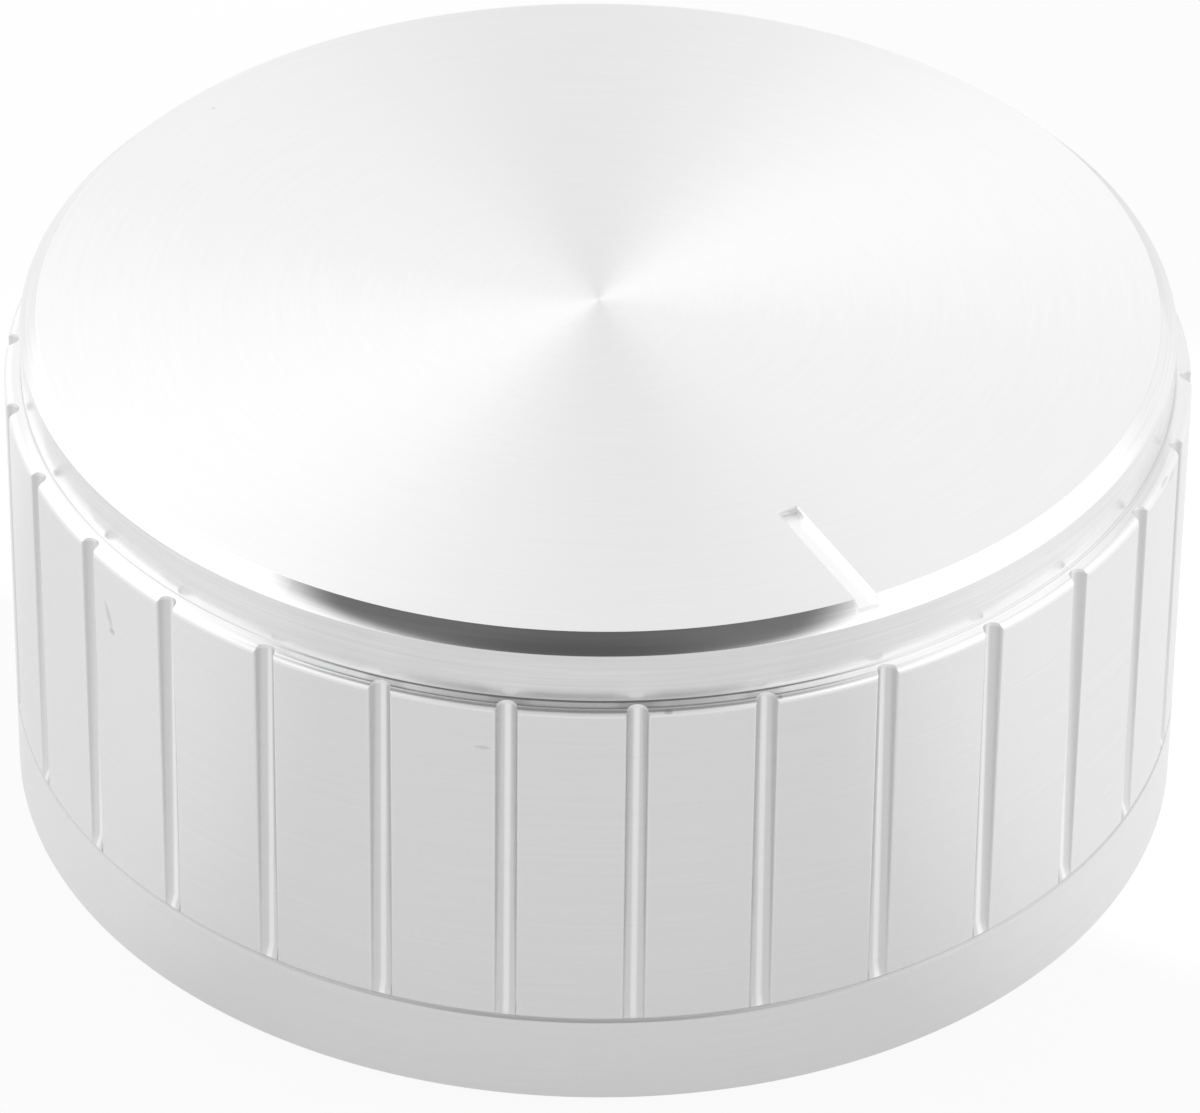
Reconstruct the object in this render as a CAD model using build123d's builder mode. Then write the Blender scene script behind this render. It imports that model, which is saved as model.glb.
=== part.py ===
"""Potentiometer knob: a turned aluminium shell pressed over a moulded spider core.

The knob turns about Z and its base rim stands on Z = 0. The pointer slot runs towards +Y.
All sizes are in millimetres and all angles in degrees.
"""
from build123d import *
import os

# Shell: turned outline
body_radius = 22.0  # grip panels and base band
knob_height = 20.0
ledge_width = 0.64  # how far the grip stands out past the plain ring above it
ledge_drop = 2.55  # top face down to the ledge
face_chamfer = 0.63  # bright 45 degree cut round the top face
shoulder_round = 0.28  # outer edge of the ledge
corner_round = 0.25  # foot of the plain ring
base_chamfer = 0.1  # both edges of the base rim
side_wall = 2.4
top_wall = 1.6

# Shell: grip
groove_count = 30
groove_radius = 0.37
groove_depth = 0.45
groove_mouth_round = 0.08
groove_tool_lift = 0.004  # the tool that rounds the mouths runs this far off the panels
groove_offset_angle = 0.9  # from the pointer to the nearest groove
line_height = 3.63  # turned line between the grip and the plain band
line_width = 0.22
line_depth = 0.06

# Shell: pointer slot
pointer_start = 14.9  # inner end, from the axis
pointer_width = 0.76
pointer_depth = 0.26
pointer_corner_round = 0.15

# Core: moulded spider that carries the shaft
glue_gap = 0.05  # core rim to shell wall
core_inset = 0.6  # base rim up to the core's rim
core_rim = 1.8
web_thickness = 2.0
rib_count = 8
rib_thickness = 1.4
rib_inset = 1.2  # base rim up to the ribs
pocket_round = 0.6
hub_radius = 6.0
nut_well_radius = 9.5  # clears the potentiometer's nut and washer
nut_well_depth = 5.0
core_edge_chamfer = 0.3

# Core: round bore that pushes onto a knurled, split shaft
shaft_diameter = 6.0
shaft_clearance = 0.02
bore_depth = 11.0
bore_lead_in = 0.4

# Heights and radii that follow from the sizes above
ring_radius = body_radius - ledge_width
ledge_height = knob_height - ledge_drop
pocket_radius = body_radius - side_wall
ceiling_height = knob_height - top_wall
core_radius = pocket_radius - glue_gap
rim_inner_radius = core_radius - core_rim
web_height = ceiling_height - web_thickness
groove_centre_radius = body_radius - groove_depth + groove_radius
tool_radius = body_radius + groove_tool_lift
groove_end_height = line_height + line_width / 2
bore_radius = shaft_diameter / 2 + shaft_clearance

os.makedirs("parts", exist_ok=True)


with BuildPart() as shell:
    # Half section, turned about Z
    with BuildSketch(Plane.XZ) as section:
        with BuildLine():
            Polyline(
                (0, ceiling_height),
                (pocket_radius, ceiling_height),
                (pocket_radius, 0),
                (body_radius, 0),
                (body_radius, ledge_height),
                (ring_radius, ledge_height),
                (ring_radius, knob_height),
                (0, knob_height),
                close=True,
            )
        make_face()
        rim_corners = section.vertices().group_by(Axis.Y)[0]
        chamfer(rim_corners, base_chamfer)
        top_corner = section.vertices().sort_by_distance((ring_radius, knob_height))[0]
        chamfer(top_corner, face_chamfer)
        ring_foot = section.vertices().sort_by_distance((ring_radius, ledge_height))[0]
        fillet(ring_foot, corner_round)
        shoulder = section.vertices().sort_by_distance((body_radius, ledge_height))[0]
        fillet(shoulder, shoulder_round)
        with BuildLine(mode=Mode.PRIVATE) as line_cut:
            Polyline(
                (body_radius, line_height - line_width / 2),
                (body_radius - line_depth, line_height),
                (body_radius, line_height + line_width / 2),
                (body_radius + line_depth, line_height),
                close=True,
            )
        make_face(line_cut.line, mode=Mode.SUBTRACT)
    revolve(axis=Axis.Z)

    # Round-bottomed grip grooves with softened mouths, open at the ledge and blind at the line
    with BuildSketch(Plane.XY.offset(groove_end_height)) as grooves:
        Circle(body_radius + groove_radius)
        Circle(tool_radius, mode=Mode.SUBTRACT)
        with PolarLocations(groove_centre_radius, groove_count, 90 + groove_offset_angle):
            Circle(groove_radius)
        mouths = grooves.vertices().filter_by(
            lambda corner: Vector(corner.X, corner.Y).length < tool_radius + 0.01
        )
        fillet(mouths, groove_mouth_round)
    extrude(amount=ledge_height - groove_end_height + groove_radius, mode=Mode.SUBTRACT)

    # Pointer: a milled slot that runs out through the chamfer
    with BuildSketch(Plane.XY.offset(knob_height)) as pointer:
        with Locations((0, (pointer_start + body_radius) / 2)):
            Rectangle(pointer_width, body_radius - pointer_start)
        fillet(pointer.vertices().group_by(Axis.Y)[0], pointer_corner_round)
    extrude(amount=-pointer_depth, mode=Mode.SUBTRACT)
shell.part.label = "shell"
export_step(shell.part, "parts/shell.step")


with BuildPart() as core:
    # Half section of the moulding before its pockets are opened
    with BuildSketch(Plane.XZ):
        with BuildLine():
            Polyline(
                (0, nut_well_depth),
                (nut_well_radius, nut_well_depth),
                (nut_well_radius, rib_inset),
                (rim_inner_radius, rib_inset),
                (rim_inner_radius, core_inset),
                (core_radius, core_inset),
                (core_radius, ceiling_height),
                (0, ceiling_height),
                close=True,
            )
        make_face()
    revolve(axis=Axis.Z)

    # Pockets between the ribs, from below up to the web
    with BuildSketch(Plane.XY.offset(core_inset)) as pockets:
        Circle(rim_inner_radius)
        Circle(hub_radius, mode=Mode.SUBTRACT)
        with PolarLocations(rim_inner_radius / 2, rib_count, 180 / rib_count):
            Rectangle(rim_inner_radius + hub_radius, rib_thickness, mode=Mode.SUBTRACT)
        fillet(pockets.vertices(), pocket_round)
    extrude(amount=web_height - core_inset, mode=Mode.SUBTRACT)

    # Blind round bore with a lead-in at its mouth
    with BuildSketch(Plane.XY.offset(nut_well_depth)):
        Circle(bore_radius)
    extrude(amount=bore_depth, mode=Mode.SUBTRACT)
    mouth = core.faces().filter_by(Plane.XY).sort_by_distance((0, 0, nut_well_depth))[0]
    chamfer(mouth.inner_wires().edges(), bore_lead_in)

    upper_edge = core.edges().filter_by(GeomType.CIRCLE).group_by(Axis.Z)[-1]
    chamfer(upper_edge, core_edge_chamfer)
core.part.label = "core"
export_step(core.part, "parts/core.step")
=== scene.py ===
"""Looks for the potentiometer knob: camera, stage, soft studio light and the finishes of shell and core.

Sizes are in metres and angles in radians, unless a comment says otherwise.
"""

import math

import bmesh
import bpy
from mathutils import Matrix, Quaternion, Vector


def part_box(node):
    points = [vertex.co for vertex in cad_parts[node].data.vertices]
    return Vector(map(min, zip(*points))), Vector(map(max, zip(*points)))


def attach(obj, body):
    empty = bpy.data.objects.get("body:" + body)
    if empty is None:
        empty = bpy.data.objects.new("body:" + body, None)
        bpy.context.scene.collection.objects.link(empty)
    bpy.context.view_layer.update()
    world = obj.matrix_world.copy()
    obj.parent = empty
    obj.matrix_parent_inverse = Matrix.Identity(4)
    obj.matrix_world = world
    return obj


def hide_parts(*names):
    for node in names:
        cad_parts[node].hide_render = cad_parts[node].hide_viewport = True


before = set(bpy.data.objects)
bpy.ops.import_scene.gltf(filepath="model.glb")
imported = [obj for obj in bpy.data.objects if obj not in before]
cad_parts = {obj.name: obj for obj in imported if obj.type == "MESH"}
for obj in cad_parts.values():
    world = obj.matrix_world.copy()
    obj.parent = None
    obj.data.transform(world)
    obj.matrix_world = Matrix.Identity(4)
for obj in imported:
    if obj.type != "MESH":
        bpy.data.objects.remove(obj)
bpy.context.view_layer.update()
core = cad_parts["core"]
shell_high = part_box("shell")[1]
body_radius = shell_high.y
knob_height = shell_high.z

# Sizes of the shell that are those of its solid
RING_RADIUS = body_radius - 0.00064
LEDGE_HEIGHT = knob_height - 0.00255
FACE_CHAMFER = 0.00063
SHOULDER_ROUND = 0.00028
BASE_CHAMFER = 0.0001
POCKET_RADIUS = body_radius - 0.0024
CEILING_HEIGHT = knob_height - 0.0016
GROOVE_COUNT = 30
GROOVE_RADIUS = 0.00037
GROOVE_DEPTH = 0.00045
GROOVE_ANGLE = math.radians(90.9)  # middle of the first groove, from +X
LINE_HEIGHT = 0.00363
LINE_HALF_WIDTH = 0.00011
LINE_DEPTH = 0.00006
POINTER_START = 0.0149
POINTER_HALF_WIDTH = 0.00038
POINTER_FLOOR = knob_height - 0.00026

# Forms that differ from the solid's, or that it doesn't have
CORNER_ROUND = 0.00008  # foot of the plain ring
MOUTH_ROUND = 0.0001  # mouths of the grooves
POINTER_CORNER = 0.00005  # inner corners of the pointer slot
EDGE_BREAK = 0.00004  # edges that the lathe and the mill leave
GROOVE_RUN_OUT = 0.6  # share of its depth that a groove loses before its short ramp up to the line
WALL_SHARES = (0.01, 0.33, 0.66, 0.963, 1.0)  # places down the grip; the ramp is between the last two

# Divisions of the shell's mesh
CORNER_STEPS = 3
FOOT_STEPS = 8
LEDGE_STEPS = 4
SHOULDER_STEPS = 12
LINE_STEPS = 4
GROOVE_STEPS = 8
MOUTH_STEPS = 5
PANEL_STEPS = 8
SLOT_CORNER_STEPS = 8
SLOT_OVERSHOOT = 0.001  # how far the slot's cutter stands out past the grip
JOIN_DISTANCE = 1e-8
SHARP_ANGLE = math.radians(28)
NORMAL_WEIGHT = 80

# Camera
VIEW_AZIMUTH = math.radians(152.9)
VIEW_ELEVATION = math.radians(35.7)
VIEW_ROLL = math.radians(0.635)
VIEW_DISTANCE = 0.2958
VIEW_LENS = 235.8  # in millimetres, as Blender takes it
SENSOR_WIDTH = 36  # in millimetres too
VIEW_AIM = Vector((0.00025, 0.00082, 0.00893))
CLIP_START = 0.01
CLIP_END = 50

# World. A patch of it is its azimuth from the camera and its elevation in degrees, and the cosines of
# the angles from its middle at which it ends and at which it is full.
WALL_LEVEL = 1.16
LAMPS = (  # patch and the light that it adds
    ((75, 34, 0.60, 0.95), 0.4),
    ((-75, 34, 0.60, 0.95), 0.2),
    ((-125, 42, 0.70, 0.97), 0.47),
)
GAP = (-7, 60, 0.70, 0.855)
GAP_FOOT = (0.62, 0.72)  # sines of the elevations between which the gap sets in
GAP_LEVEL = 0.14
DIM_SIDE = (-2, 25, 0.80, 0.95)
DIM_LEVEL = 0.62

# Floor
FLOOR_RADIUS = 1.5
FLOOR_SIDES = 96
FLOOR_COLOUR = (0.9, 0.9, 0.9, 1)
FLOOR_CLEARANCE = 0.00001  # keeps the floor out of the plane of the rim
FLOOR_WHITEN = 0.9  # share of plain white in what the camera sees of it
FLOOR_WHITEN_IN_METAL = 0.6  # and in what the metal reflects
FLOOR_SEEN = 0.76  # brightness of that white in the metal
FLOOR_SEEN_BESIDE = (  # azimuth from the camera in degrees, cosines of end and full, and the light added
    (97, 0.4, 0.95, 0.36),
    (-90, 0.6, 0.95, 0.2),
    (-155, 0.6, 0.97, 0.26),
)

# Shell finish, with painted shade and painted highlights in some zones. Later zones cover earlier ones.
TURNED_TONE = 0.86
# Tones: the groove tone is painted shade on the grooves' walls, the groove floor's tone a painted highlight
# along their floors, the line tone painted shade in the turned line and the foot tone painted shade in the
# corner at the foot of the ring.
ZONE_TONES = {"bright": 0.95, "groove": 0.79, "groove_floor_highlight": 1.0, "line": 0.72, "foot": 0.76, "slot": 1.0}
TURNED_ROUGHNESS = 0.22
ZONE_ROUGHNESS = {
    "level": 0.35,
    "chamfer": 0.09,
    "ledge": 0.12,
    "shoulder": 0.32,
    "foot": 0.12,
    "groove": 0.28,
    "line": 0.5,
    "slot": 0.4,
    "slot_end": 0.7,
}
LEDGE_METALLIC = 0.93  # under one, so that the ledge scatters a little light
BLUE_TINT = 0.004
ANISOTROPY = 0.8
ANISOTROPY_ROTATION = 0.25
TURNING_PITCH = 0.00014  # of the streaks that the lathe tool left
TURNING_ARC = 0.25  # their length along the turn
TURNING_DETAIL = 2.0
TURNING_PLAIN = 0.17  # depth of their tone on chamfer and ring
TURNING_FAINT = 0.05  # and elsewhere

# Small handling marks: degrees from +X, place along the outline (radius less height), half length
# round the turn, half width along the outline, lean, tone
MARKS = (
    (10.4, 0.0069, 0.00020, 0.00066, 0.35, 0.84),
    (10.9, 0.0075, 0.00020, 0.00016, 0.0, 0.76),
    (52.7, 0.0064, 0.00036, 0.00011, 0.0, 0.86),
    (69.7, 0.0046, 0.00020, 0.00016, 0.0, 0.70),
    (80.2, 0.0045, 0.00010, 0.00016, 0.0, 0.72),
    (132.9, 0.0046, 0.00050, 0.00014, 0.0, 0.84),
    (135.1, 0.0049, 0.00050, 0.00020, 0.0, 0.84),
    (-68.0, -0.0004, 0.00008, 0.00008, 0.0, 0.80),
    (-39.0, 0.0008, 0.00008, 0.00008, 0.0, 0.80),
)
MARK_CORE = 0.1  # where a mark starts to fade, as the square of its share of the way out

# Edges of the zones of the shell's finish
SOFT_EDGE = 0.00003
LINE_EDGE = 0.00002
FINE_EDGE = 0.00001
MOUTH_EDGE = 0.00004
GROOVE_FADE = 0.0001  # over which the painted shade on a groove's wall fades towards its mouth, into a thin painted highlight
GROOVE_LIGHT = (0.00005, 0.00016)  # the painted highlight along a groove's floor is full and ends this far from its middle
SLOT_END_REACH = (0.0003, 0.0005)  # the slot's rough end is full and ends this far from its inner wall
SLOT_SUNK = 0.0001  # how far the slot's zone goes below its floor
LEVEL_UPWARD = (0.90, 0.97)  # upward part of the normal at which a surface starts to count as level, and does
CHAMFER_UPWARD = (0.4, 0.9)
CHAMFER_EDGE = 0.05

# Core finish
CORE_COLOUR = (0.03, 0.03, 0.03, 1)
CORE_ROUGHNESS = (0.42, 0.58)
CORE_GRAIN = 6000.0
GRAIN_DETAIL = 3.0
GRAIN_LIMITS = (0.3, 0.7)
GRAIN_STRENGTH = 0.15
GRAIN_DEPTH = 0.00002

# Places that follow from the sizes above
ledge_start = RING_RADIUS + CORNER_ROUND
shoulder_start = body_radius - SHOULDER_ROUND
line_top = LINE_HEIGHT + LINE_HALF_WIDTH
pitch = 2 * math.pi / GROOVE_COUNT

# Share of a groove's depth that is left at each of the places down the grip
depth_left = [1 - GROOVE_RUN_OUT * share for share in WALL_SHARES[:-1]] + [0.0]

# The wall of a groove is an arc, which runs up to touch_angle from the groove's middle. Its rounded mouth
# runs from there to mouth_angle, where the panel starts.
groove_centre = body_radius - GROOVE_DEPTH + GROOVE_RADIUS
mouth_centre = body_radius - MOUTH_ROUND
between_centres = GROOVE_RADIUS + MOUTH_ROUND
mouth_cosine = (mouth_centre**2 + groove_centre**2 - between_centres**2) / (2 * mouth_centre * groove_centre)
mouth_angle = math.acos(mouth_cosine)
mouth_place = Vector((mouth_centre * math.cos(mouth_angle), mouth_centre * math.sin(mouth_angle)))
touch = Vector((groove_centre, 0)).lerp(mouth_place, GROOVE_RADIUS / between_centres)
touch_angle = math.atan2(touch.y, touch.x)


def direction(azimuth, elevation):
    """Unit vector from the knob outwards: azimuth 0 is towards -Y and turns towards +X."""
    flat = math.cos(elevation)
    return Vector((math.sin(azimuth) * flat, -math.cos(azimuth) * flat, math.sin(elevation)))


class Tree:
    """Emptied node tree of a material or world, with a short call for each thing that is built in it."""

    def __init__(self, owner):
        owner.use_nodes = True
        self.nodes = owner.node_tree.nodes
        self.links = owner.node_tree.links
        self.nodes.clear()

    def add(self, kind, **settings):
        made = self.nodes.new(kind)
        for name, value in settings.items():
            setattr(made, name, value)
        return made

    def plug(self, target, value):
        """Links an output to the input, or sets the input's own value."""
        if isinstance(value, bpy.types.NodeSocket):
            self.links.new(value, target)
        else:
            target.default_value = value

    def plug_all(self, targets, values):
        for target, value in zip(targets, values):
            self.plug(target, value)

    def finish(self, kind, shader):
        """Ends the tree in an output node of this kind."""
        self.plug(self.add(kind).inputs["Surface"], shader.outputs[0])

    def maths(self, operation, *values):
        made = self.add("ShaderNodeMath", operation=operation)
        self.plug_all(made.inputs, values)
        return made.outputs[0]

    def vector_maths(self, operation, *values):
        made = self.add("ShaderNodeVectorMath", operation=operation)
        self.plug_all(made.inputs, values)
        return made.outputs["Value" if operation in ("DOT_PRODUCT", "LENGTH") else "Vector"]

    def split(self, vector):
        """The three parts of a vector."""
        made = self.add("ShaderNodeSeparateXYZ")
        self.plug(made.inputs[0], vector)
        return made.outputs

    def noise(self, scale, detail, place=None):
        made = self.add("ShaderNodeTexNoise")
        made.inputs["Scale"].default_value = scale
        made.inputs["Detail"].default_value = detail
        if place is not None:
            self.plug(made.inputs["Vector"], place)
        return made.outputs[0]

    def ramp(self, value, from_low, from_high, to_low=0.0, to_high=1.0, smooth=True):
        """Value remapped between two limits and held beyond them."""
        made = self.add("ShaderNodeMapRange")
        made.interpolation_type = "SMOOTHSTEP" if smooth else "LINEAR"
        self.plug_all(made.inputs, (value, from_low, from_high, to_low, to_high))
        return made.outputs["Result"]

    def zone(self, value, low, high, edge=SOFT_EDGE):
        """One between two limits and nothing outside them, with a narrow soft edge."""
        inside = self.ramp(value, low - edge, low + edge)
        return self.both(inside, self.ramp(value, high - edge, high + edge, 1.0, 0.0))

    def both(self, first, second):
        return self.maths("MULTIPLY", first, second)

    def largest(self, first, *others):
        for other in others:
            first = self.maths("MAXIMUM", first, other)
        return first

    def either(self, first, second, mask):
        """The first number where the mask is nothing, the second where it is one."""
        return self.ramp(mask, 0.0, 1.0, first, second, smooth=False)


def place_camera():
    """Camera where the photograph was taken from."""
    back = direction(VIEW_AZIMUTH, VIEW_ELEVATION)
    camera = bpy.data.objects.new("camera", bpy.data.cameras.new("camera"))
    bpy.context.collection.objects.link(camera)
    camera.data.lens = VIEW_LENS
    camera.data.sensor_width = SENSOR_WIDTH
    camera.data.clip_start = CLIP_START
    camera.data.clip_end = CLIP_END
    camera.location = VIEW_AIM + back * VIEW_DISTANCE
    camera.rotation_mode = "QUATERNION"
    camera.rotation_quaternion = back.to_track_quat("Z", "Y") @ Quaternion((0, 0, 1), VIEW_ROLL)
    bpy.context.scene.camera = camera


def light_studio():
    """White walls and large soft lamps, with a dark gap in the ceiling and a dimmer side at the camera."""
    world = bpy.data.worlds.new("studio")
    bpy.context.scene.world = world
    tree = Tree(world)
    where = tree.add("ShaderNodeTexCoord").outputs["Generated"]

    def patch(azimuth, elevation, outer, inner):
        """Soft round patch of the sky: one at its middle, nothing outside it."""
        middle = direction(VIEW_AZIMUTH + math.radians(azimuth), math.radians(elevation))
        return tree.ramp(tree.vector_maths("DOT_PRODUCT", where, middle), outer, inner)

    def dimmed(light, mask, left):
        """The light where the mask is nothing, and a share of it where the mask is one."""
        return tree.maths("MULTIPLY", light, tree.maths("MULTIPLY_ADD", mask, left - 1, 1.0))

    light = WALL_LEVEL
    for place, added in LAMPS:
        light = tree.maths("MULTIPLY_ADD", patch(*place), added, light)
    gap = tree.both(patch(*GAP), tree.ramp(tree.split(where)["Z"], *GAP_FOOT))
    light = dimmed(dimmed(light, gap, GAP_LEVEL), patch(*DIM_SIDE), DIM_LEVEL)
    to_camera = tree.add("ShaderNodeLightPath").outputs["Is Camera Ray"]
    background = tree.add("ShaderNodeBackground")
    tree.plug(background.inputs["Strength"], tree.largest(light, to_camera))
    tree.finish("ShaderNodeOutputWorld", background)


def white_paper():
    """Floor material, which the metal sees darker in front of the knob than beside it."""
    paper = bpy.data.materials.new("paper")
    tree = Tree(paper)
    lit = tree.add("ShaderNodeBsdfDiffuse")
    tree.plug(lit.inputs["Color"], FLOOR_COLOUR)
    outward = tree.vector_maths("NORMALIZE", tree.add("ShaderNodeTexCoord").outputs["Object"])
    seen = FLOOR_SEEN
    for azimuth, outer, inner, added in FLOOR_SEEN_BESIDE:
        middle = direction(VIEW_AZIMUTH + math.radians(azimuth), 0)
        towards = tree.vector_maths("DOT_PRODUCT", outward, middle)
        seen = tree.maths("ADD", seen, tree.ramp(towards, outer, inner, 0.0, added))
    rays = tree.add("ShaderNodeLightPath").outputs
    white = tree.add("ShaderNodeEmission")
    tree.plug(white.inputs["Strength"], tree.largest(seen, rays["Is Camera Ray"]))
    whiten = tree.maths("MULTIPLY", rays["Is Camera Ray"], FLOOR_WHITEN)
    whiten = tree.maths("MULTIPLY_ADD", rays["Is Glossy Ray"], FLOOR_WHITEN_IN_METAL, whiten)
    mix = tree.add("ShaderNodeMixShader")
    tree.plug_all(mix.inputs, (whiten, lit.outputs[0], white.outputs[0]))
    tree.finish("ShaderNodeOutputMaterial", mix)
    return paper


def arc(centre, radius, start, end, steps):
    """Points round a centre in the half section, from one angle to another in degrees."""
    angles = [math.radians(start + (end - start) * k / steps) for k in range(steps + 1)]
    return [(centre[0] + radius * math.cos(a), centre[1] + radius * math.sin(a)) for a in angles]


def corner(before, at, after, radius, steps=CORNER_STEPS):
    """The corner between two straight runs, rounded off."""
    at, to_before, to_after = Vector(at), Vector(before) - Vector(at), Vector(after) - Vector(at)
    to_before.normalize()
    to_after.normalize()
    half = to_before.angle(to_after) / 2
    centre = at + (to_before + to_after).normalized() * radius / math.sin(half)
    first = at + to_before * radius / math.tan(half) - centre
    last = at + to_after * radius / math.tan(half) - centre
    points = []
    for k in range(steps + 1):
        share = k / steps
        turned = first * (1 - share) + last * share
        points.append(tuple(centre + turned.normalized() * radius))
    return points


def top_rows():
    """Half section from the edge of the face down to the ledge."""
    face_edge = (RING_RADIUS - FACE_CHAMFER, knob_height)
    chamfer_foot = (RING_RADIUS, knob_height - FACE_CHAMFER)
    foot_centre = (RING_RADIUS + CORNER_ROUND, LEDGE_HEIGHT + CORNER_ROUND)
    rows = corner((0, knob_height), face_edge, chamfer_foot, EDGE_BREAK)
    rows += corner(face_edge, chamfer_foot, (RING_RADIUS, LEDGE_HEIGHT), EDGE_BREAK)
    return rows + arc(foot_centre, CORNER_ROUND, 180, 270, FOOT_STEPS)


def ledge_point(radius):
    """Point of the ledge or of its rounded shoulder at a radius."""
    past = max(0.0, radius - shoulder_start)
    return (radius, LEDGE_HEIGHT - SHOULDER_ROUND + math.sqrt(max(0.0, SHOULDER_ROUND**2 - past**2)))


def ledge_shares():
    """Places across the ledge and its shoulder, as shares of the way from the ring to the grip."""
    flat = shoulder_start - ledge_start
    radii = [ledge_start + flat * k / LEDGE_STEPS for k in range(1, LEDGE_STEPS + 1)]
    turns = [math.pi / 2 * k / SHOULDER_STEPS for k in range(1, SHOULDER_STEPS + 1)]
    radii += [shoulder_start + SHOULDER_ROUND * math.sin(turn) for turn in turns]
    return [(radius - ledge_start) / (body_radius - ledge_start) for radius in radii]


def grip_rows(wall, shares):
    """Half section of the ledge and the grip where the grip's surface has this radius at its top."""
    ledge = [ledge_point(ledge_start + (wall - ledge_start) * share) for share in shares]
    wall_top = ledge[-1][1]
    sunk = body_radius - wall
    side = []
    for left, share in zip(depth_left, WALL_SHARES):
        side.append((body_radius - sunk * left, wall_top + (line_top - wall_top) * share))
    return ledge + side


def base_rows():
    """Half section from the turned line down round the base rim and up the inside to the ceiling."""
    line_start = (body_radius, line_top)
    line_root = (body_radius - LINE_DEPTH, LINE_HEIGHT)
    line_end = (body_radius, LINE_HEIGHT - LINE_HALF_WIDTH)
    rim = (
        (body_radius, LINE_HEIGHT / 2),
        (body_radius, BASE_CHAMFER),
        (body_radius - BASE_CHAMFER, 0.0),
        (POCKET_RADIUS + BASE_CHAMFER, 0.0),
        (POCKET_RADIUS, BASE_CHAMFER),
        (POCKET_RADIUS, CEILING_HEIGHT),
    )
    rows = [line_start] + corner(line_start, line_root, line_end, LINE_DEPTH / 2, LINE_STEPS)
    rows += [line_end, rim[0]]
    for before, at, after in zip(rim, rim[1:], rim[2:]):
        rows += corner(before, at, after, EDGE_BREAK)
    return rows + [rim[-1]]


def groove_radius_at(angle):
    """Radius of the grip's surface at an angle from the middle of the nearest groove."""
    angle = abs(angle)
    if angle >= mouth_angle:
        return body_radius
    if angle > touch_angle:
        off = angle - mouth_angle
        return mouth_centre * math.cos(off) + math.sqrt(MOUTH_ROUND**2 - (mouth_centre * math.sin(off)) ** 2)
    rise = GROOVE_RADIUS**2 - (groove_centre * math.sin(angle)) ** 2
    return groove_centre * math.cos(angle) - math.sqrt(max(0.0, rise))


def grip_angles():
    """Angles across one groove and the panel after it, from the groove's middle."""
    wall = [touch_angle * math.sin(math.pi / 2 * k / GROOVE_STEPS) for k in range(1, GROOVE_STEPS + 1)]
    wall += [touch_angle + (mouth_angle - touch_angle) * k / MOUTH_STEPS for k in range(1, MOUTH_STEPS + 1)]
    panel = [mouth_angle + (pitch - 2 * mouth_angle) * k / PANEL_STEPS for k in range(1, PANEL_STEPS)]
    return [-angle for angle in reversed(wall)] + [0.0] + wall + panel


def closed_mesh(name, points, faces):
    """Mesh with its doubled points joined and its faces turned outwards."""
    mesh = bpy.data.meshes.new(name)
    mesh.from_pydata(points, [], faces)
    work = bmesh.new()
    work.from_mesh(mesh)
    bmesh.ops.remove_doubles(work, verts=work.verts, dist=JOIN_DISTANCE)
    bmesh.ops.dissolve_degenerate(work, edges=work.edges, dist=JOIN_DISTANCE)
    bmesh.ops.recalc_face_normals(work, faces=work.faces)
    work.to_mesh(mesh)
    work.free()
    return mesh


def turned_mesh():
    """Shell without its pointer slot, finely divided so that bright edges reflect without facets."""
    top, shares, base = top_rows(), ledge_shares(), base_rows()
    columns = []
    for groove in range(GROOVE_COUNT):
        for angle in grip_angles():
            middle = GROOVE_ANGLE + pitch * groove
            turn = Vector((math.cos(middle + angle), math.sin(middle + angle)))
            rows = top + grip_rows(groove_radius_at(angle), shares) + base
            columns.append([(turn.x * radius, turn.y * radius, height) for radius, height in rows])
    count, size = len(columns), len(columns[0])
    faces = []
    for here in range(count):
        after = (here + 1) % count
        for row in range(size - 1):
            a, b = here * size + row, after * size + row
            faces.append((a, a + 1, b + 1, b))
    # The flat of the face, and the ceiling inside
    faces.append([here * size for here in range(count)])
    faces.append([here * size + size - 1 for here in reversed(range(count))])
    return closed_mesh("shell_turned", [point for column in columns for point in column], faces)


def slot_mesh():
    """Cutter of the pointer slot, which widens through the face to break the slot's upper edges."""
    outside = body_radius + SLOT_OVERSHOOT
    plan = [(POINTER_HALF_WIDTH, outside), (-POINTER_HALF_WIDTH, outside)]
    left_end = (-POINTER_HALF_WIDTH, POINTER_START)
    right_end = (POINTER_HALF_WIDTH, POINTER_START)
    plan += corner(plan[1], left_end, right_end, POINTER_CORNER, SLOT_CORNER_STEPS)
    plan += corner(left_end, right_end, plan[0], POINTER_CORNER, SLOT_CORNER_STEPS)
    levels = (
        (POINTER_FLOOR, 0.0),
        (knob_height - EDGE_BREAK, 0.0),
        (knob_height + EDGE_BREAK, 2 * EDGE_BREAK),
    )
    points = []
    for height, spread in levels:
        wider = 1 + spread / POINTER_HALF_WIDTH
        points += [(x * wider, y - spread * (y < body_radius), height) for x, y in plan]
    size = len(plan)
    faces = [list(reversed(range(size))), [2 * size + k for k in range(size)]]
    for level in range(len(levels) - 1):
        for k in range(size):
            a, b = level * size + k, level * size + (k + 1) % size
            faces.append((a, b, b + size, a + size))
    return closed_mesh("pointer_cutter", points, faces)


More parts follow.
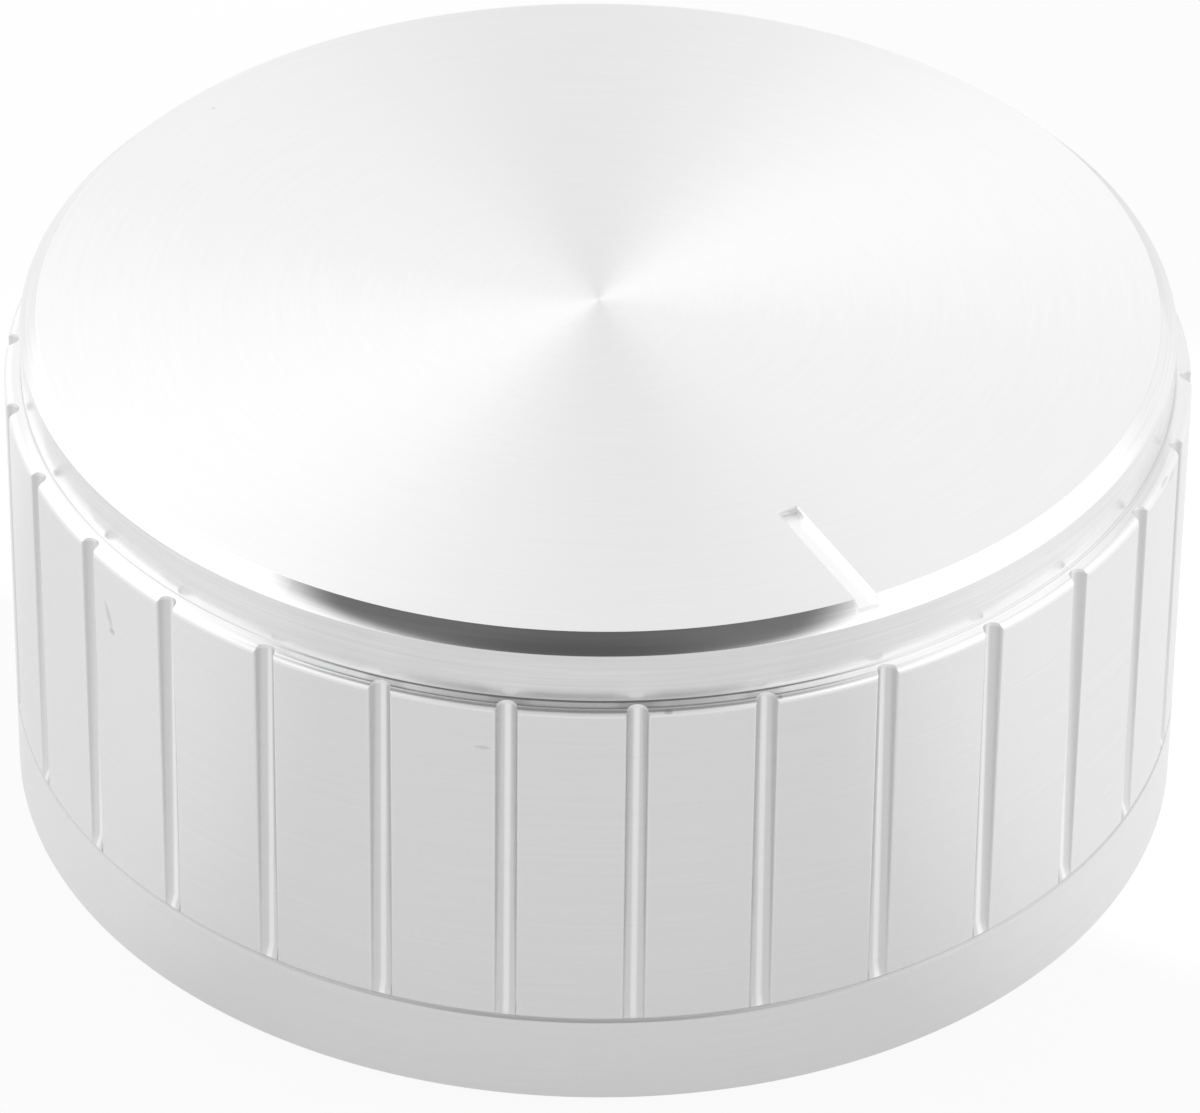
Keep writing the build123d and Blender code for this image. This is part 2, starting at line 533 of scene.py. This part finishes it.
def turned_shell():
    """The shell with its pointer slot cut out."""
    shell_piece = bpy.data.objects.new("shell_turned", turned_mesh())
    cutter = bpy.data.objects.new("pointer_cutter", slot_mesh())
    bpy.context.collection.objects.link(shell_piece)
    bpy.context.collection.objects.link(cutter)
    cut = shell_piece.modifiers.new("pointer", "BOOLEAN")
    cut.operation = "DIFFERENCE"
    cut.solver = "EXACT"
    cut.object = cutter
    bpy.context.view_layer.update()
    evaluated = shell_piece.evaluated_get(bpy.context.evaluated_depsgraph_get())
    cut_mesh = bpy.data.meshes.new_from_object(evaluated)
    shell_piece.modifiers.clear()
    shell_piece.data = cut_mesh
    bpy.data.objects.remove(cutter)
    cut_mesh.shade_smooth()
    cut_mesh.set_sharp_from_angle(angle=SHARP_ANGLE)
    weigh = shell_piece.modifiers.new("weighted_normals", "WEIGHTED_NORMAL")
    weigh.keep_sharp = True
    weigh.weight = NORMAL_WEIGHT
    return shell_piece


def shell_zones(tree, place, radius, around):
    """Masks of the shell's zones by name, from the place on it, its radius and its angle from +X."""
    across, along, height = tree.split(place)
    upward = tree.split(tree.add("ShaderNodeNewGeometry").outputs["Normal"])["Z"]
    turned = tree.maths("SUBTRACT", around, GROOVE_ANGLE)
    from_groove = tree.maths("ABSOLUTE", tree.maths("WRAP", turned, pitch / 2, -pitch / 2))
    beside = tree.maths("MULTIPLY", from_groove, body_radius)
    mouth = mouth_angle * body_radius
    slot_side = POINTER_HALF_WIDTH + EDGE_BREAK
    slot_plan = tree.both(
        tree.zone(across, -slot_side, slot_side, FINE_EDGE),
        tree.ramp(along, POINTER_START - 2 * EDGE_BREAK, POINTER_START - EDGE_BREAK),
    )
    slot_height = tree.zone(height, POINTER_FLOOR - SLOT_SUNK, knob_height - FINE_EDGE, FINE_EDGE)
    slot = tree.both(slot_plan, slot_height)
    from_end = tree.maths("SUBTRACT", along, POINTER_START)
    slot_end = tree.both(slot, tree.ramp(from_end, *SLOT_END_REACH, 1.0, 0.0))
    level = tree.ramp(upward, *LEVEL_UPWARD)
    chamfer = tree.both(
        tree.zone(height, knob_height - FACE_CHAMFER, knob_height - FINE_EDGE),
        tree.zone(upward, *CHAMFER_UPWARD, CHAMFER_EDGE),
    )
    ring = tree.zone(height, LEDGE_HEIGHT + CORNER_ROUND, knob_height - FACE_CHAMFER)
    foot = tree.both(
        tree.zone(height, LEDGE_HEIGHT, LEDGE_HEIGHT + CORNER_ROUND, FINE_EDGE),
        tree.ramp(radius, ledge_start, ledge_start + SOFT_EDGE, 1.0, 0.0),
    )
    ledge = tree.zone(height, LEDGE_HEIGHT - SHOULDER_ROUND, LEDGE_HEIGHT + CORNER_ROUND)
    shoulder = tree.zone(height, LEDGE_HEIGHT - SHOULDER_ROUND, LEDGE_HEIGHT - FINE_EDGE, FINE_EDGE)
    groove = tree.both(
        tree.zone(height, LINE_HEIGHT, LEDGE_HEIGHT - SHOULDER_ROUND / 2),
        tree.ramp(beside, mouth - MOUTH_EDGE, mouth, 1.0, 0.0),
    )
    return {
        "level": level,
        "chamfer": chamfer,
        "bright": tree.largest(chamfer, ledge, level),
        "ring": ring,
        "foot": foot,
        "ledge": ledge,
        "shoulder": shoulder,
        "groove": groove,
        "groove_floor_highlight": tree.both(groove, tree.ramp(beside, *GROOVE_LIGHT, 1.0, 0.0)),
        "groove_mouth": tree.ramp(beside, mouth - GROOVE_FADE, mouth),
        "line": tree.zone(height, LINE_HEIGHT - LINE_HALF_WIDTH, line_top, LINE_EDGE),
        "slot": slot,
        "slot_end": slot_end,
    }


def marked(tree, tone, radius, around, down_outline):
    """The tone with the small handling marks on it."""
    for degrees, place, half_turn, half_width, lean, mark_tone in MARKS:
        down = tree.maths("SUBTRACT", down_outline, place)
        off = tree.maths("SUBTRACT", around, math.radians(degrees))
        aside = tree.both(tree.maths("WRAP", off, math.pi, -math.pi), radius)
        aside = tree.maths("SUBTRACT", aside, tree.both(down, lean))
        squares = []
        for distance, limit in ((aside, half_turn), (down, half_width)):
            share = tree.maths("ABSOLUTE", tree.maths("DIVIDE", distance, limit))
            squares.append(tree.maths("POWER", share, 2.0))
        spot = tree.ramp(tree.maths("ADD", *squares), MARK_CORE, 1.0, mark_tone, 1.0)
        tone = tree.both(tone, spot)
    return tone


def turning_streaks(tree, across, along, radius, down_outline):
    """Noise drawn out along the turn, from 0 to 1 round a half."""
    arc_length = tree.maths("MULTIPLY", radius, TURNING_ARC)
    place = tree.add("ShaderNodeCombineXYZ")
    tree.plug(place.inputs[0], tree.maths("DIVIDE", across, arc_length))
    tree.plug(place.inputs[1], tree.maths("DIVIDE", along, arc_length))
    tree.plug(place.inputs[2], tree.maths("DIVIDE", down_outline, TURNING_PITCH))
    return tree.noise(1.0, TURNING_DETAIL, place.outputs[0])


def spun_aluminium():
    """Shell finish: a spun face, a bright chamfer, satin grooves, fine turning streaks and marks, with
    painted shade in the grooves, the turned line and the ring's foot, and painted highlights along the
    grooves' floors and mouths.
    """
    metal = bpy.data.materials.new("spun_aluminium_with_painted_shade_and_highlights")
    tree = Tree(metal)
    place = tree.add("ShaderNodeTexCoord").outputs["Object"]
    across, along, height = tree.split(place)
    radius = tree.vector_maths("LENGTH", tree.vector_maths("MULTIPLY", place, (1, 1, 0)))
    around = tree.maths("ARCTAN2", along, across)
    down_outline = tree.maths("SUBTRACT", radius, height)
    zones = shell_zones(tree, place, radius, around)

    # Painted shade on the grooves' walls, which fades towards each mouth into a thin painted highlight
    groove_painted_shade = tree.either(ZONE_TONES["groove"], ZONE_TONES["bright"], zones["groove_mouth"])
    tone = TURNED_TONE
    for name, zone_tone in {**ZONE_TONES, "groove": groove_painted_shade}.items():
        tone = tree.either(tone, zone_tone, zones[name])
    tone = marked(tree, tone, radius, around, down_outline)
    streaks = turning_streaks(tree, across, along, radius, down_outline)
    depth = tree.either(TURNING_FAINT, TURNING_PLAIN, tree.largest(zones["chamfer"], zones["ring"]))
    uneven = tree.both(tree.maths("SUBTRACT", streaks, 0.5), depth)
    tone = tree.both(tone, tree.maths("ADD", uneven, 1.0))
    colour = tree.add("ShaderNodeCombineColor")
    tree.plug_all(colour.inputs, (tone, tone, tree.maths("ADD", tone, BLUE_TINT)))

    roughness = TURNED_ROUGHNESS
    for name, zone_roughness in ZONE_ROUGHNESS.items():
        roughness = tree.either(roughness, zone_roughness, zones[name])
    satin = tree.largest(zones["ledge"], zones["slot"], zones["groove"])
    surface = tree.add("ShaderNodeBsdfPrincipled")
    tree.plug(surface.inputs["Base Color"], colour.outputs[0])
    tree.plug(surface.inputs["Metallic"], tree.either(1.0, LEDGE_METALLIC, zones["ledge"]))
    tree.plug(surface.inputs["Roughness"], roughness)
    tree.plug(surface.inputs["Anisotropic"], tree.either(ANISOTROPY, 0.0, satin))
    rotation = tree.either(ANISOTROPY_ROTATION, 0.0, zones["slot"])
    tree.plug(surface.inputs["Anisotropic Rotation"], rotation)
    tangent = tree.add("ShaderNodeTangent", direction_type="RADIAL", axis="Z")
    tree.plug(surface.inputs["Tangent"], tangent.outputs[0])
    tree.finish("ShaderNodeOutputMaterial", surface)
    return metal


def moulded_black():
    """Core finish: black plastic with a fine moulded grain."""
    plastic = bpy.data.materials.new("moulded_black_finish")
    tree = Tree(plastic)
    surface = tree.add("ShaderNodeBsdfPrincipled")
    tree.plug(surface.inputs["Base Color"], CORE_COLOUR)
    grain = tree.noise(CORE_GRAIN, GRAIN_DETAIL)
    tree.plug(surface.inputs["Roughness"], tree.ramp(grain, *GRAIN_LIMITS, *CORE_ROUGHNESS))
    relief = tree.add("ShaderNodeBump")
    tree.plug(relief.inputs["Strength"], GRAIN_STRENGTH)
    tree.plug(relief.inputs["Distance"], GRAIN_DEPTH)
    tree.plug(relief.inputs["Height"], grain)
    tree.plug(surface.inputs["Normal"], relief.outputs[0])
    tree.finish("ShaderNodeOutputMaterial", surface)
    return plastic


# Camera, light and floor
place_camera()
light_studio()
bpy.ops.mesh.primitive_circle_add(
    vertices=FLOOR_SIDES, radius=FLOOR_RADIUS, fill_type="NGON", location=(0, 0, -FLOOR_CLEARANCE)
)
floor = bpy.context.object
floor.name = "floor"
floor.data.materials.append(white_paper())

# Shell
shell_piece = turned_shell()
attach(shell_piece, "root")
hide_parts("shell")
shell_piece.data.materials.clear()
shell_piece.data.materials.append(spun_aluminium())

# Core
core.data.materials[0] = moulded_black()

bpy.context.scene.view_settings.view_transform = "Standard"
